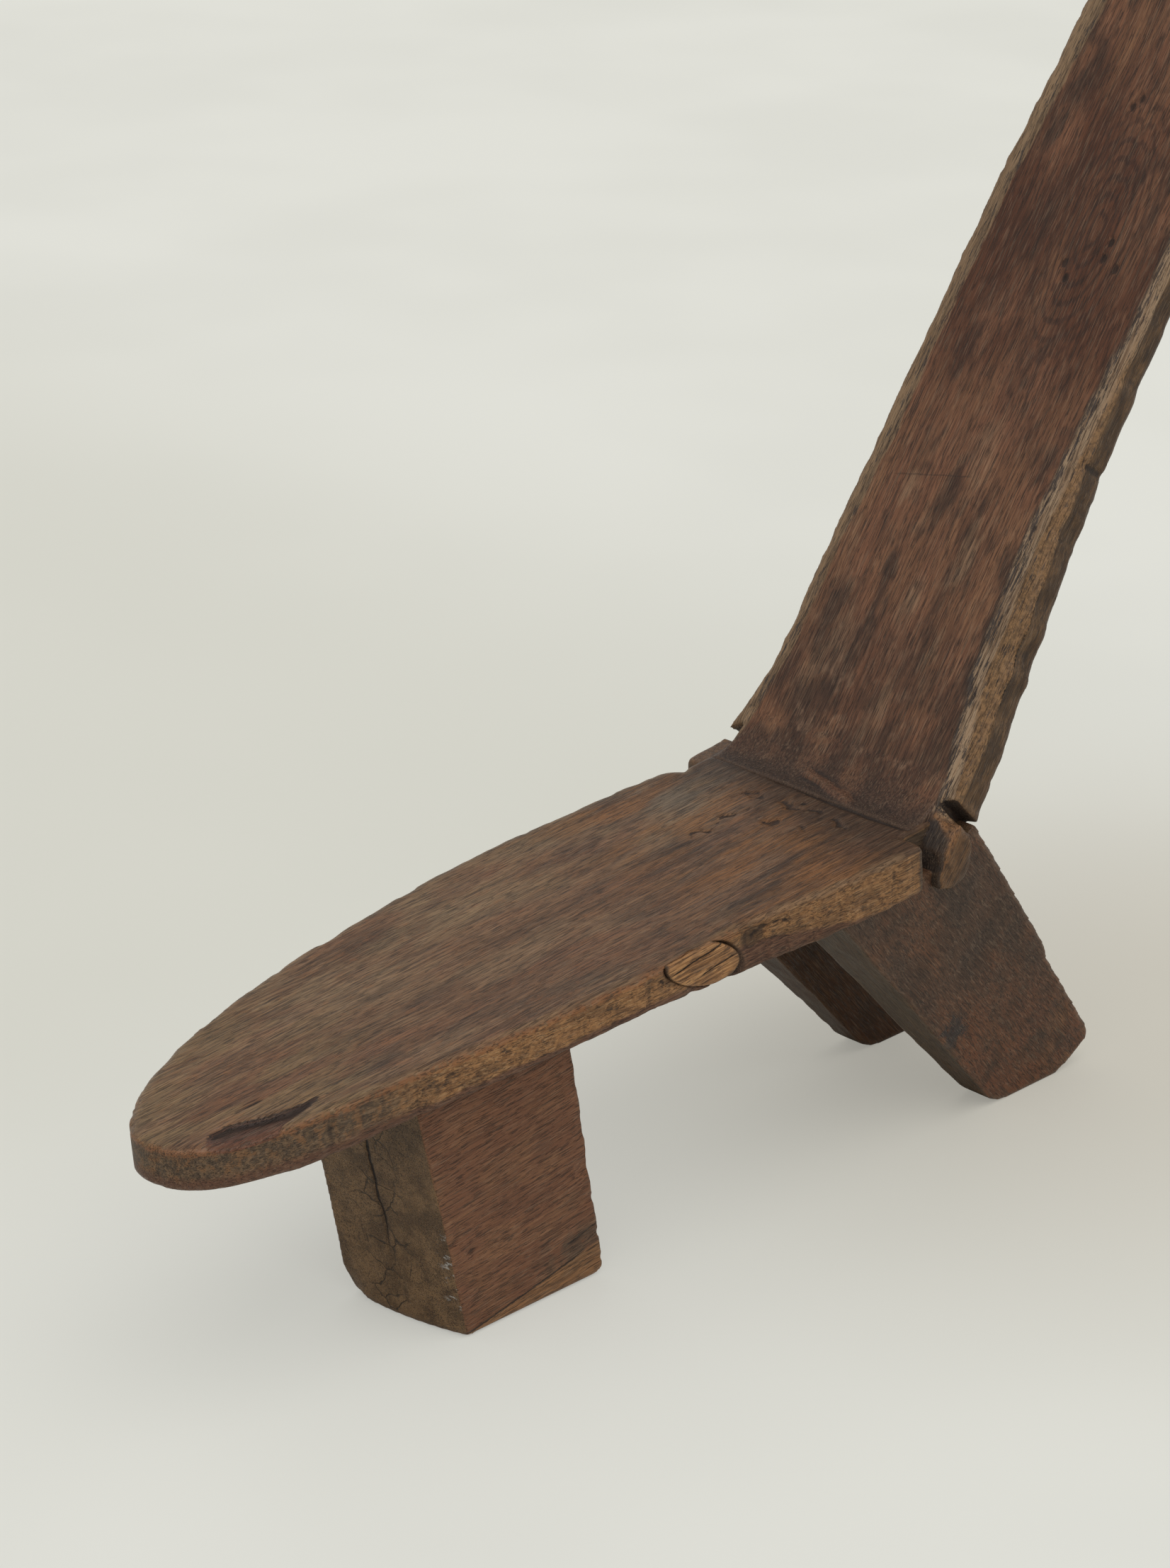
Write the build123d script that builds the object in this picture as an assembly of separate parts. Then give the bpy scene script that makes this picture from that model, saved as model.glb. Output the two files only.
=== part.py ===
from build123d import *
import math
import os

# A low reclining chair of the Lobi kind, hewn out of one forked log: a long pointed seat
# plank, a tall backrest plank, one block leg in front and two slab legs that rake back
# from the fork. All lengths are millimetres and all angles are degrees.
#
# Working frame: X across the chair, with the sitter's left on +X. Y runs back from the
# seat's tip, and Z runs up from the floor. At the end everything is moved together so
# that the origin is on the floor in the middle of the chair.

# ---- seat plank -------------------------------------------------------------------
seat_length = 653.0            # tip to crease, measured level
seat_slope = 5.0               # the top face rises to the back
seat_tip_height = 220.0        # floor to top face at the tip
seat_edge_round = 3.0          # worn rounding along the top rim
# The underside is hewn in flats: thickness of the plank where they meet.
tip_thickness = 31.0           # at the very tip
belly_thickness = 35.0         # ahead of the front leg
waist_thickness = 29.0         # behind the front leg
root_thickness = 38.0          # from the fork's root to the crease
belly_station = 75.0           # tip to each of those places
waist_station = 366.0
root_ahead = 213.0             # crease to the fork's root

# Half widths of the rim, and where they are as shares of the seat's length.
# The right rim (-X) swells early, the left rim (+X) is blunt at the tip.
tip_offset = 6.0               # the foremost point lies a little to the left
rim_right_half_widths = [29.0, 64.0, 97.0, 113.0, 122.0, 118.0]
rim_right_shares = [0.03, 0.11, 0.27, 0.44, 0.6, 0.76]
rim_left_half_widths = [35.0, 62.0, 78.0, 95.0, 104.0, 105.0, 119.0]
rim_left_shares = [0.02, 0.1, 0.24, 0.42, 0.55, 0.7, 0.84]
rim_left_past_ear = 2.0        # rear end of each rim, against the ear behind it
rim_right_short_of_ear = 10.0

# ---- lashing slots at the ends of the crease ----------------------------------------
slot_front_gap = 35.0          # crease to the slot's front wall
slot_width = 21.0              # along the seat
slot_root_half_width = 101.0   # wood left between the two slots

# ---- fork ear behind each slot --------------------------------------------------------
ear_half_width = 120.0
ear_top_drop = 16.0            # slot-side corner of the ear, below the crease
ear_shoulder_back = 8.0        # crease to the ear's upper back corner
ear_shoulder_drop = 4.0
ear_back = 22.0                # crease to the rearmost point of the ear
ear_back_drop = 27.0
ear_foot_back = 17.0           # crease to where the ear's back edge meets the underside

# ---- backrest plank -------------------------------------------------------------------
back_angle = 55.0              # above the level
back_length = 700.0            # crease to the top end, along the face
back_bottom_thickness = 35.0
back_top_thickness = 31.0
back_edge_break = 4.0          # hewn break along the rear edges
back_top_crown = 16.0          # rise of the rounded top end
back_corner_radius = 30.0
hook_height = 12.0             # lowest point of the hooked lower corners
hook_half_width = 115.0
hook_notch_height = 17.0       # inner end of the notch under each hook
# Half widths at heights above the crease, along the face.
back_right = [(45.0, 104.5), (85.0, 100.5), (190.0, 99.5), (330.0, 97.0), (480.0, 95.0), (570.0, 89.0)]
back_left = [(60.0, 111.0), (130.0, 105.0), (200.0, 98.0), (290.0, 92.5), (430.0, 91.5), (570.0, 88.0)]
back_top_half_width = 82.0     # where the top corners begin

# ---- front leg --------------------------------------------------------------------------
front_leg_foot_y = 227.0       # tip to the middle of the foot's front edge
front_leg_foot_depth = 138.0
front_leg_front_lean = 12.6    # faces, off the vertical: the foot stands further back
front_leg_back_lean = 8.9
front_leg_skew = 8.0           # front face, turned to the chair's left as it was hewn
front_leg_foot_half_width = 54.5
front_leg_offset = 1.5         # stands a little to the left of the middle
front_leg_side_taper = 0.9     # sides, off the vertical, narrowing upward
front_foot_round = 6.0         # worn edge round the sole

# ---- rear legs ----------------------------------------------------------------------------
rear_toe_back = 108.0          # crease to the toe
rear_sole_length = 76.0        # flat part that stands on the floor
rear_heel_rise = 22.0          # worn heel, above the floor
rear_heel_run = 38.0
rear_front_angle = 46.7        # front face, above the level
rear_back_angle = 51.1         # rear face above the step, above the level
rear_step_back = 140.0         # crease to the small step in the rear face
rear_step_height = 131.0       # above the floor
rear_step_drop = 12.0
rear_step_run = 5.0
rear_left_outer_foot_half_width = 81.0
rear_right_outer_foot_half_width = 77.0
rear_inner_foot_half_width = 50.0
rear_outer_splay = 7.6         # outer face, off the vertical
rear_inner_splay = 1.5         # inner face, off the vertical, the other way
rear_toe_radius = 10.0
rear_heel_radius = 12.0

# ---- dead knot in the left edge ---------------------------------------------------------------
knot_station = 412.0           # tip to the knot's middle
knot_length = 70.0
knot_height = 26.0
knot_depth = 20.0              # how far it reaches into the plank
knot_proud = 3.0               # stands out of the hewn edge
knot_edge_half_width = 103.0   # hewn edge beside the knot
knot_shake = 0.3               # gap of the shake that rings it

REACH = 2.0 * seat_length      # longer than anything that is cut


def rise(angle):
    """Rise per unit of level run for an angle above the level."""
    return math.tan(math.radians(angle))


def seat_top(y):
    """Height of the seat's top face."""
    return seat_tip_height + rise(seat_slope) * y


class Line2:
    """A straight line in the side view, through a point and with a slope."""

    def __init__(self, y, z, slope):
        self.y, self.z, self.slope = y, z, slope

    def height(self, y):
        return self.z + self.slope * (y - self.y)

    def meet(self, other):
        y = (other.z - self.z + self.slope * self.y - other.slope * other.y) / (self.slope - other.slope)
        return y, self.height(y)


def back_at(z):
    """The point of the backrest's front face, in the side view, at a height."""
    return crease_y + (z - crease_z) / rise(back_angle), z


def line_between(start, end):
    return Line2(start[0], start[1], (end[1] - start[1]) / (end[0] - start[0]))


crease_y = seat_length
crease_z = seat_top(crease_y)
tip_under = (0.0, seat_tip_height - tip_thickness)
belly = (belly_station, seat_top(belly_station) - belly_thickness)
waist = (waist_station, seat_top(waist_station) - waist_thickness)
root_station = crease_y - root_ahead
root = (root_station, seat_top(root_station) - root_thickness)
rear_toe_y = crease_y + rear_toe_back
rear_step_y = crease_y + rear_step_back
nose_flat = line_between(tip_under, belly)
front_flat = line_between(belly, waist)                                   # the front leg stands under this
rear_flat = line_between(root, (crease_y, crease_z - root_thickness))     # legs and heel share this

back_up = Vector(0, math.cos(math.radians(back_angle)), math.sin(math.radians(back_angle)))
back_in = Vector(0, back_up.Z, -back_up.Y)                                # from the front face to the rear
back_front_line = Line2(crease_y, crease_z, rise(back_angle))
back_rear_line = Line2(crease_y + back_bottom_thickness * back_in.Y,
                       crease_z + back_bottom_thickness * back_in.Z, rise(back_angle))
leg_front_line = Line2(rear_toe_y, 0.0, -rise(rear_front_angle))
leg_rear_line = Line2(rear_step_y, rear_step_height, -rise(rear_back_angle))
heel_front = back_front_line.meet(rear_flat)     # lower end of the joint between seat and heel
leg_front_root = leg_front_line.meet(rear_flat)
leg_rear_root = leg_rear_line.meet(rear_flat)
vee = leg_rear_line.meet(back_rear_line)         # where the legs' rear meets the back's rear


def side_prism(points, half_width_from, half_width_to):
    """Extrude an outline given in (y, z) between two places along X."""
    outline = Polyline(*[(0.0, y, z) for y, z in points], close=True)
    prism = extrude(make_face(outline), half_width_to - half_width_from, dir=(1, 0, 0))
    return Pos(half_width_from, 0, 0) * prism


def front_prism(points):
    """Extrude an outline given in (x, z) along the whole length of the chair."""
    outline = Polyline(*[(x, 0.0, z) for x, z in points], close=True)
    return extrude(make_face(outline), REACH, dir=(0, 1, 0))


def knot_prism(grow, inner, outer):
    """Oval cylinder along X, in line with the plank, between two half widths."""
    middle_z = (seat_top(knot_station) + max(front_flat.height(knot_station), rear_flat.height(knot_station))) / 2.0
    slope = math.radians(seat_slope)
    plane = Plane(origin=(inner, knot_station, middle_z), x_dir=(0, math.cos(slope), math.sin(slope)),
                  z_dir=(1, 0, 0))
    oval = Ellipse(knot_length / 2.0 + grow, knot_height / 2.0 + grow)
    return extrude(plane * oval, outer - inner)


def seat_point(x, y):
    """A point of the seat's outline in the plane of its top face, from its level station."""
    return x, y / math.cos(math.radians(seat_slope))


def seat_plank():
    """Long pointed plank, sloping up to the crease, with hewn flats below."""
    slot_y = crease_y - slot_front_gap
    past_crease = crease_y + slot_front_gap
    right_end = ear_half_width - rim_right_short_of_ear
    left_end = ear_half_width + rim_left_past_ear
    right = [seat_point(-width, share * seat_length)
             for width, share in zip(rim_right_half_widths, rim_right_shares)]
    left = [seat_point(width, share * seat_length)
            for width, share in zip(rim_left_half_widths, rim_left_shares)]
    rim = Spline([seat_point(-right_end, slot_y)] + right[::-1] + [seat_point(tip_offset, 0.0)] + left
                 + [seat_point(left_end, slot_y)])
    rear = Polyline(seat_point(left_end, slot_y), seat_point(left_end, past_crease),
                    seat_point(-right_end, past_crease), seat_point(-right_end, slot_y))
    top_plane = Plane(origin=(0, 0, seat_tip_height), x_dir=(1, 0, 0), z_dir=(0, -rise(seat_slope), 1))
    blank = extrude(top_plane * make_face(rim + rear), -REACH)
    top = blank.faces().sort_by(Axis.Z)[-1]
    blank = fillet(top.edges().filter_by(GeomType.BSPLINE), seat_edge_round)
    ahead = -belly_station
    above_flats = side_prism([(ahead, REACH), back_at(REACH), heel_front, root, waist, belly,
                              (ahead, nose_flat.height(ahead))], -REACH, REACH)
    slot = side_prism([(slot_y, 0.0), (past_crease, 0.0), (past_crease, REACH), (slot_y, REACH)],
                      slot_root_half_width, REACH)
    pocket = knot_prism(knot_shake, knot_edge_half_width - knot_depth, REACH)
    return ((blank & above_flats) - slot - mirror(slot, Plane.YZ) - pocket).solid()


def edge_knot():
    """Dead branch knot, ringed by a shake, still sitting in its hole."""
    knot = knot_prism(0.0, knot_edge_half_width - knot_depth, knot_edge_half_width + knot_proud)
    return chamfer(knot.faces().sort_by(Axis.X)[-1].edges(), knot_proud).solid()


def top_corner(side):
    """Quarter turn at one top corner of the backrest; side is 1 or -1."""
    centre_x = back_top_half_width - back_corner_radius
    centre_y = back_length - back_top_crown - back_corner_radius
    reach = back_corner_radius * math.sqrt(0.5)
    return ThreePointArc((side * back_top_half_width, centre_y), (side * (centre_x + reach), centre_y + reach),
                         (side * centre_x, centre_y + back_corner_radius))


def backrest_outline():
    """Front view of the backrest plank, in its own face plane."""
    shoulder = back_length - back_top_crown - back_corner_radius
    left = Spline([(hook_half_width, hook_height)] + [(width, height) for height, width in back_left]
                  + [(back_top_half_width, shoulder)])
    right = Spline([(-hook_half_width, hook_height)] + [(-width, height) for height, width in back_right]
                   + [(-back_top_half_width, shoulder)])
    corner_x = back_top_half_width - back_corner_radius
    corner_y = back_length - back_top_crown
    crown = ThreePointArc((corner_x, corner_y), (0.0, back_length), (-corner_x, corner_y))
    foot = Polyline((-hook_half_width, hook_height), (-slot_root_half_width, hook_notch_height),
                    (-slot_root_half_width, 0.0), (slot_root_half_width, 0.0),
                    (slot_root_half_width, hook_notch_height), (hook_half_width, hook_height))
    return make_face(left + top_corner(1) + crown + top_corner(-1) + right + foot)


def fork_ears():
    """Ears of the fork behind the slots, on both sides of the seat's end."""
    front = crease_y - slot_front_gap + slot_width
    foot = crease_y + ear_foot_back
    outline = [(front, rear_flat.height(front)), (front, crease_z - ear_top_drop), (crease_y, crease_z),
               (crease_y + ear_shoulder_back, crease_z - ear_shoulder_drop),
               (crease_y + ear_back, crease_z - ear_back_drop), (foot, rear_flat.height(foot))]
    left = side_prism(outline, slot_root_half_width, ear_half_width)
    return left + mirror(left, Plane.YZ)


def backrest_plank():
    """Tall plank with hooked lower corners, on the heel and ears of the fork."""
    face_plane = Plane(origin=(0, crease_y, crease_z), x_dir=(1, 0, 0), z_dir=-back_in)
    blank = extrude(face_plane * backrest_outline(), -2.0 * back_bottom_thickness)
    foot = Vector(0, crease_y, crease_z)
    corners = [foot, foot + back_up * back_length, foot + back_up * back_length + back_in * back_top_thickness,
               foot + back_in * back_bottom_thickness]
    plank = blank & side_prism([(corner.Y, corner.Z) for corner in corners], -REACH, REACH)
    rear_face = plank.faces().sort_by(Axis(foot, back_in))[-1]
    rear_edges = rear_face.edges().filter_by(lambda edge: edge.geom_type != GeomType.LINE)
    plank = chamfer(rear_edges, back_edge_break)
    heel = side_prism([(crease_y, crease_z), heel_front, leg_rear_root, vee],
                      -slot_root_half_width, slot_root_half_width)
    return (plank + heel + fork_ears()).solid()


def front_leg():
    """Block leg under the front of the seat; its foot stands further back than its top."""
    half = front_leg_foot_half_width
    narrower = half - rise(front_leg_side_taper) * seat_tip_height
    foot_rear = front_leg_foot_y + front_leg_foot_depth
    skew = half * rise(front_leg_skew)
    front_lean = rise(front_leg_front_lean) * seat_tip_height
    back_lean = rise(front_leg_back_lean) * seat_tip_height
    top_skew = narrower * rise(front_leg_skew)
    sole = Polyline((-half, front_leg_foot_y - skew, 0), (half, front_leg_foot_y + skew, 0),
                    (half, foot_rear, 0), (-half, foot_rear, 0), close=True)
    level = seat_tip_height
    crown = Polyline((-narrower, front_leg_foot_y - top_skew - front_lean, level),
                     (narrower, front_leg_foot_y + top_skew - front_lean, level),
                     (narrower, foot_rear - back_lean, level), (-narrower, foot_rear - back_lean, level),
                     close=True)
    block = loft([make_face(sole), make_face(crown)], ruled=True)
    block = fillet(block.faces().sort_by(Axis.Z)[0].edges(), front_foot_round)
    below = side_prism([(0.0, 0.0), (waist_station, 0.0), (waist_station, front_flat.height(waist_station)),
                        (0.0, front_flat.height(0.0))], -REACH, REACH)
    return (Pos(front_leg_offset, 0, 0) * (block & below)).solid()


def rear_leg(side):
    """Slab leg raking back from the fork; side is 1 for the left and -1 for the right."""
    sole_end = rear_toe_y + rear_sole_length
    heel = (sole_end + rear_heel_run, rear_heel_rise)
    slab = side_prism([(rear_toe_y, 0.0), (sole_end, 0.0), heel,
                       (rear_step_y + rear_step_run, rear_step_height - rear_step_drop),
                       (rear_step_y, rear_step_height), leg_rear_root, leg_front_root], 0.0, REACH)
    for corner, radius in ((heel, rear_heel_radius), ((rear_toe_y, 0.0), rear_toe_radius)):
        edges = slab.edges().filter_by(Axis.X)
        slab = fillet(edges.sort_by_distance((REACH / 2.0, corner[0], corner[1]))[0], radius)
    outer_foot = rear_left_outer_foot_half_width if side > 0 else rear_right_outer_foot_half_width
    outer_top = outer_foot + rise(rear_outer_splay) * crease_z
    inner_top = rear_inner_foot_half_width - rise(rear_inner_splay) * crease_z
    slab &= front_prism([(rear_inner_foot_half_width, 0), (outer_foot, 0),
                         (outer_top, crease_z), (inner_top, crease_z)])
    return (slab if side > 0 else mirror(slab, Plane.YZ)).solid()


def main():
    os.makedirs("parts", exist_ok=True)
    pieces = {
        "seat_plank": seat_plank(),
        "edge_knot": edge_knot(),
        "backrest_plank": backrest_plank(),
        "front_leg": front_leg(),
        "rear_leg_left": rear_leg(1),
        "rear_leg_right": rear_leg(-1),
    }
    whole = Compound(list(pieces.values())).bounding_box()
    to_origin = Pos(-whole.center().X, -whole.center().Y, 0.0)
    for name, piece in pieces.items():
        export_step(to_origin * piece, f"parts/{name}.step")


main()
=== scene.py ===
# %% [markdown]
# A low reclining chair hewn out of one forked log. The long pointed seat, the tall backrest
# and the legs are all the same wood, so there are no joints to hide: each member is modelled
# by itself, runs a few millimetres into its neighbour, and the meeting lines disappear. The
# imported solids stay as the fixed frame, and every hewn member below stands for one of them.

import math

import bmesh
import bpy
from mathutils import Matrix, Vector, noise
from mathutils.kdtree import KDTree


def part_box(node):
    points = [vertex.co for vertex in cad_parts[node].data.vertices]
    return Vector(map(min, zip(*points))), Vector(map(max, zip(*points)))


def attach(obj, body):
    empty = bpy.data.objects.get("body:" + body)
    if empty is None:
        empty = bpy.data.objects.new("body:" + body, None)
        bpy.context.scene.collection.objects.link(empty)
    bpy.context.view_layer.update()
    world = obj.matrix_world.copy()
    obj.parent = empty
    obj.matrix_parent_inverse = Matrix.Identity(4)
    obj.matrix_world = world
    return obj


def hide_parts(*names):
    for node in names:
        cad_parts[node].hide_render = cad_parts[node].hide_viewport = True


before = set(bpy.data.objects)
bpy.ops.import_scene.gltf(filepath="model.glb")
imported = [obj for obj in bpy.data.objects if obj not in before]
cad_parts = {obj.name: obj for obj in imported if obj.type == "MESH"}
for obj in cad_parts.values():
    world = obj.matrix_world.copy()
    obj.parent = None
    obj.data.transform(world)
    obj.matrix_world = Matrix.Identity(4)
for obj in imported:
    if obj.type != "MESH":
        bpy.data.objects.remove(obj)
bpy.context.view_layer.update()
MM = 0.001
print("solids:", sorted(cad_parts))

# %% [markdown]
# Two planes carry the whole chair: the seat's top face, which rises five degrees to the back,
# and the backrest's front face, which leans back from the crease. Every station below is
# measured along one of them, so both are written once.

# %% Levels and angles of the two planks
SEAT_RISE = math.radians(5.0)
BACK_RISE = math.radians(55.0)
TIP_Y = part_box("seat_plank")[0].y
TIP_TOP = 220 * MM
CREASE = Vector((0.0, TIP_Y + 653 * MM, TIP_TOP + math.tan(SEAT_RISE) * 653 * MM))
BACK_UP = Vector((0.0, math.cos(BACK_RISE), math.sin(BACK_RISE)))
BACK_IN = Vector((0.0, math.sin(BACK_RISE), -math.cos(BACK_RISE)))
SEAT_UP = Vector((0.0, -math.sin(SEAT_RISE), math.cos(SEAT_RISE)))
print("crease at", [round(value, 4) for value in CREASE])

# %% [markdown]
# The camera comes first, because every proportion is judged through it. It stands off the
# chair's front left corner, a little above the seat, with a long lens that keeps the planks'
# edges nearly parallel.

# %% Camera
def look(position, target):
    """Matrix of a camera that stands at position and looks at target, upright."""
    back = (position - target).normalized()
    right = Vector((0, 0, 1)).cross(back).normalized()
    up = back.cross(right)
    turn = Matrix((right, up, back)).transposed()
    return Matrix.Translation(position) @ turn.to_4x4()


def put(name, data):
    """A new object in the scene."""
    thing = bpy.data.objects.new(name, data)
    bpy.context.scene.collection.objects.link(thing)
    return thing


lens = bpy.data.cameras.new("long_lens")
lens.lens = 89.43
lens.sensor_width = 36.0
lens.clip_end = 60.0
camera = put("camera", lens)
camera.matrix_world = look(Vector((1.7769, -1.8729, 1.3818)), Vector((-0.2826, 0.1369, 0.1840)))
bpy.context.scene.camera = camera
print("camera at", [round(value, 3) for value in camera.location])

# %% [markdown]
# Light in a studio like this comes from a large soft source overhead, off to the right, and
# from pale walls all round. A wide sun gives the soft shadow under the planks and an even
# world gives the rest. Together they light a level surface at about its own colour.

# %% Light
world = bpy.data.worlds.new("pale_room")
world.use_nodes = True
bpy.context.scene.world = world
room = world.node_tree.nodes["Background"]
room.inputs["Color"].default_value = (1.0, 0.985, 0.95, 1.0)
room.inputs["Strength"].default_value = 0.70

sun = bpy.data.lights.new("soft_overhead", "SUN")
sun.energy = 1.0
sun.angle = math.radians(60)
sun.color = (1.0, 0.985, 0.96)
lamp = put("soft_overhead", sun)
lamp.matrix_world = look(Vector((1.2, -0.35, 2.0)), Vector((0, 0, 0)))
bpy.context.scene.view_settings.view_transform = "Standard"
print("lamps: one wide sun and the room")

# %% [markdown]
# Shader nodes are easier to read as sums. One small class holds a socket whose value changes
# over a surface, and Python's own signs on it add the Math nodes. Every other node comes from
# one method, which takes the node's type, then its settings, then what goes into its sockets.
# A Map Range node gives the soft steps from which most masks are made.

# %% Sockets as numbers
def pick(slots, name):
    """A node's socket, by its number, its name or its identifier."""
    return slots[name] if isinstance(name, int) else next(s for s in slots if name in (s.identifier, s.name))


def plug(tree, slot, term):
    """Link a varying term to a slot, or write a plain one on it."""
    if isinstance(term, Varying):
        tree.links.new(term.socket, slot)
    elif slot.type == "RGBA" and len(term) == 3:
        slot.default_value = (*term, 1.0)
    else:
        slot.default_value = term


class Nodes:
    """Whatever works on one node tree and adds nodes to it."""

    def node(self, kind, settings, sockets, output=0):
        """A node of any type: its settings, then its sockets, then the output that is wanted."""
        node = self.tree.nodes.new(kind)
        for name, setting in settings.items():
            if name == "stops":
                while len(node.color_ramp.elements) < len(setting):
                    node.color_ramp.elements.new(0.5)
                for element, (position, colour) in zip(node.color_ramp.elements, setting):
                    element.position, element.color = position, (*colour, 1.0)
            else:
                setattr(node, name, setting)
        for name, term in sockets.items():
            plug(self.tree, pick(node.inputs, name), term)
        return Varying(self.tree, pick(node.outputs, output))


def sign(operation, swapped=False):
    """A method that puts a Math node on its own value and the others; swapped, its own comes last."""
    def method(self, *others):
        terms = (*others, self) if swapped else (self, *others)
        return self.node("ShaderNodeMath", {"operation": operation}, dict(enumerate(terms)))
    return method


class Varying(Nodes):
    """A socket's value. Signs between varying values and plain numbers add Math nodes."""

    def __init__(self, tree, socket):
        self.tree, self.socket = tree, socket

    __add__, __radd__ = sign("ADD"), sign("ADD", True)
    __sub__, __rsub__ = sign("SUBTRACT"), sign("SUBTRACT", True)
    __mul__, __rmul__ = sign("MULTIPLY"), sign("MULTIPLY", True)
    __abs__, most, root, sine = sign("ABSOLUTE"), sign("MAXIMUM"), sign("SQRT"), sign("SINE")

    def step(self, low, high):
        """0 at low, 1 at high, with soft ends; low may be above high."""
        return self.node("ShaderNodeMapRange", {"interpolation_type": "SMOOTHSTEP"},
                         {"Value": self, "From Min": low, "From Max": high})


# %% [markdown]
# One finish is one material, with the chair's own coordinates at hand. It mixes tones, reads
# the marks that the carving leaves on the points, and makes clouds of noise, because every
# finish below is built of those three.

# %% A finish
def three(size):
    """Sizes along X, Y and Z, from one number, from two (across and along) or from three."""
    return (size,) * 3 if isinstance(size, float) else (*size, size[0])[:3]


class Finish(Nodes):
    """A material under construction."""

    def __init__(self, name):
        self.material = bpy.data.materials.new(name)
        self.material.use_nodes = True
        self.tree = self.material.node_tree
        self.place = self.node("ShaderNodeTexCoord", {}, {}, "Object")
        self.x, self.y, self.z = self.parts(self.place)

    def parts(self, vector):
        """The three numbers of a vector."""
        return [self.node("ShaderNodeSeparateXYZ", {}, {"Vector": vector}, axis) for axis in "XYZ"]

    def mix(self, factor, under, over):
        """Colour over another colour, by a mask."""
        return self.node("ShaderNodeMix", {"data_type": "RGBA"},
                         {"Factor_Float": factor, "A_Color": under, "B_Color": over}, "Result_Color")

    def blend(self, base, *layers):
        """A tone built up in layers, each of them a mask and the tone that it lets on."""
        for mask, tone in layers:
            base = self.mix(mask, base, tone)
        return base

    def mark(self, name):
        """A number kept on the mesh's points."""
        return self.node("ShaderNodeAttribute", {"attribute_name": name}, {}, "Fac")

    def cloud(self, place, size, detail=3.0, roughness=0.55, seed=0.0):
        """Noise whose cells have this size in metres."""
        spread = self.node("ShaderNodeMapping", {"vector_type": "TEXTURE"},
                           {"Vector": place, "Location": (seed, 0.7 * seed, -seed), "Scale": three(size)})
        return self.node("ShaderNodeTexNoise", {},
                         {"Vector": spread, "Scale": 1.0, "Detail": detail, "Roughness": roughness})


# %% [markdown]
# The floor is a pale sheet, large enough that its edge never shows. It is no part of
# the chair, so it is staged. Its colour holds painted shadow behind the backrest, painted shade
# beyond the chair's far side, and a painted brighter zone toward the camera. Part of its light
# is its own where the camera sees it, as if low lamps reached under the chair, so the shadow
# stays but stays pale.

# %% Floor
floor_mesh = bpy.data.meshes.new("floor")
bm = bmesh.new()
bmesh.ops.create_grid(bm, x_segments=1, y_segments=1, size=25.0)
bm.to_mesh(floor_mesh)
bm.free()
floor = put("floor", floor_mesh)
paper = Finish("pale_floor")
# painted light in the floor's colour: a shadow behind the backrest, shade beyond the far side, and a brighter zone
# toward the camera
backrest_shadow_x, backrest_shadow_y = paper.x - 0.10, paper.y - 0.45
painted_backrest_shadow = (backrest_shadow_x * backrest_shadow_x + backrest_shadow_y * backrest_shadow_y).root().step(0.75, 0.05)
sheet = paper.blend(
    paper.mix(paper.cloud(paper.place, 0.6, 2.0).step(0.35, 0.65), (0.735, 0.740, 0.690), (0.765, 0.770, 0.720)),
    (painted_backrest_shadow, (0.615, 0.592, 0.522)),
    (paper.x.step(-0.15, -0.6) * paper.y.step(1.3, 0.4) * 0.8, (0.660, 0.660, 0.595)),
    ((paper.x - paper.y).step(0.5, 1.6) * 0.6, (0.770, 0.780, 0.760)))
paper_shader = paper.tree.nodes["Principled BSDF"]
plug(paper.tree, paper_shader.inputs["Base Color"], sheet)
paper_shader.inputs["Roughness"].default_value = 0.7
paper_shader.inputs["Specular IOR Level"].default_value = 0.2
glow = paper.node("ShaderNodeEmission", {}, {"Color": sheet})
seen = paper.node("ShaderNodeLightPath", {}, {}, "Is Camera Ray")
own_light = 0.44
lit = paper.node("ShaderNodeMixShader", {},
                 {0: seen * own_light, 1: Varying(paper.tree, paper_shader.outputs[0]), 2: glow})
plug(paper.tree, paper.tree.nodes["Material Output"].inputs["Surface"], lit)
floor_mesh.materials.append(paper.material)
print("floor staged")

# %% [markdown]
# Each member starts as a board or a block with flat faces, as the carver's blank did. A board
# is a closed curve through a few named points, filled and given a thickness. A block is one
# face drawn in the side view and pulled out across the chair, then hewn by planes.

# %% Blanks: boards and blocks
def shown(thing):
    """The mesh that an object shows, modifiers and all; the object itself goes."""
    bpy.context.view_layer.update()
    mesh = bpy.data.meshes.new_from_object(thing.evaluated_get(bpy.context.evaluated_depsgraph_get()))
    bpy.data.objects.remove(thing)
    return mesh


def board(points, thickness, rounding, steps=12):
    """A bmesh of a flat board. Each point is (x, along, corner), and the top is at z 0."""
    curve = bpy.data.curves.new("outline", "CURVE")
    curve.dimensions, curve.fill_mode = "2D", "BOTH"
    curve.resolution_u = steps
    curve.extrude, curve.bevel_depth, curve.offset = thickness / 2 - rounding, rounding, -rounding
    curve.bevel_resolution = 2
    spline = curve.splines.new("BEZIER")
    spline.bezier_points.add(len(points) - 1)
    spline.use_cyclic_u = True
    for knot, (x, along, corner) in zip(spline.bezier_points, points):
        knot.co = (x, along, 0.0)
        knot.handle_left_type = knot.handle_right_type = "VECTOR" if corner else "AUTO"
    blank = bmesh.new()
    blank.from_mesh(shown(put("outline", curve)))
    bmesh.ops.remove_doubles(blank, verts=blank.verts, dist=1e-5)
    bmesh.ops.translate(blank, verts=blank.verts, vec=(0, 0, -thickness / 2))
    bmesh.ops.recalc_face_normals(blank, faces=blank.faces)
    return blank


def pull(blank, way):
    """Pull a flat blank's only face out into a solid; returns the points that moved."""
    pulled = bmesh.ops.extrude_face_region(blank, geom=blank.faces[:], use_keep_orig=True)
    moved = [item for item in pulled["geom"] if isinstance(item, bmesh.types.BMVert)]
    bmesh.ops.translate(blank, verts=moved, vec=way)
    return moved


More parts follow.
